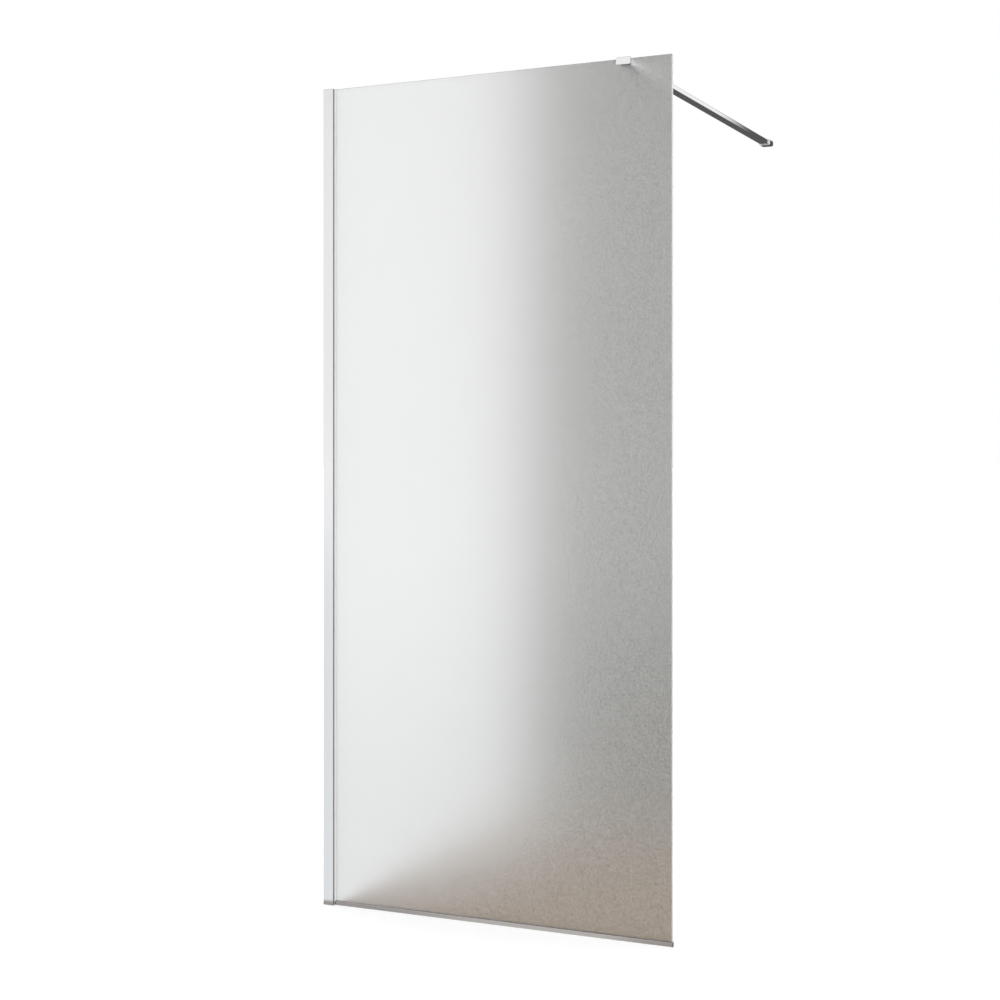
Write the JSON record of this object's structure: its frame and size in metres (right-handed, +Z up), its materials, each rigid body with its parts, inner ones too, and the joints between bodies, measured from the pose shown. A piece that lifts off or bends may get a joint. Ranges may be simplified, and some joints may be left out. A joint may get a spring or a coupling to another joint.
{
  "type": "walk-in shower screen",
  "caption": "Fixed satin glass shower panel in a wall channel and slim floor rail, with a top clamp and a flat support bar to a wall socket.",
  "frame": {"origin": "where the wall face of the channel, the floor and the middle of the glass meet", "axes": "+X along the glass away from the wall, +Y towards the side that the support bar is on, +Z up"},
  "size_m": [0.9012, 1.1395, 2.0022],
  "materials": {
    "polished_aluminium": "bright polished extrusion",
    "chrome": "polished chrome plate",
    "satin_glass": "etched satin glass with polished edges",
    "gasket_rubber": "soft translucent seal",
    "clear_vinyl": "translucent vinyl",
    "dark_plastic": "dark grey moulded plastic",
    "cap_plastic": "silver grey moulded plastic",
    "nylon": "natural nylon",
    "steel_screw": "stainless steel"
  },
  "bodies": {
    "wall_channel_fixed": {"wall_channel": "polished_aluminium", "channel_top_cap": "cap_plastic", "locking_screws": "steel_screw", "locking_nuts": "steel_screw", "screw_covers": "cap_plastic"},
    "glass_panel": {"glazing_profile": "polished_aluminium", "front_gasket": "gasket_rubber", "wedge_gasket": "gasket_rubber", "glass_edge_blocks": "nylon", "glass_pane": "satin_glass", "bottom_rail": "polished_aluminium", "rail_liner": "clear_vinyl", "setting_pads": "nylon", "rail_end_cap": "dark_plastic"},
    "bar_clamp": {"clamp_body": "chrome", "clamp_liner": "clear_vinyl", "pressure_plate": "steel_screw", "pressure_pad": "gasket_rubber", "clamp_screw": "steel_screw", "clamp_bar_screw": "steel_screw", "support_bar": "chrome", "bar_end_plugs": "cap_plastic"},
    "bar_socket": {"wall_socket": "chrome", "socket_bar_screw": "steel_screw"}
  },
  "joints": [
    {"name": "width_adjustment", "type": "slide", "parent": "wall_channel_fixed", "child": "glass_panel", "axis": [1, 0, 0], "range_m": [0, 0.01]},
    {"name": "clamp_slide", "type": "slide", "parent": "glass_panel", "child": "bar_clamp", "axis": [1, 0, 0], "range_m": [-0.72, 0.09]},
    {"name": "socket_slide", "type": "slide", "parent": "bar_clamp", "child": "bar_socket", "axis": [0, 1, 0], "range_m": [-0.0045, 0.008]}
  ]
}
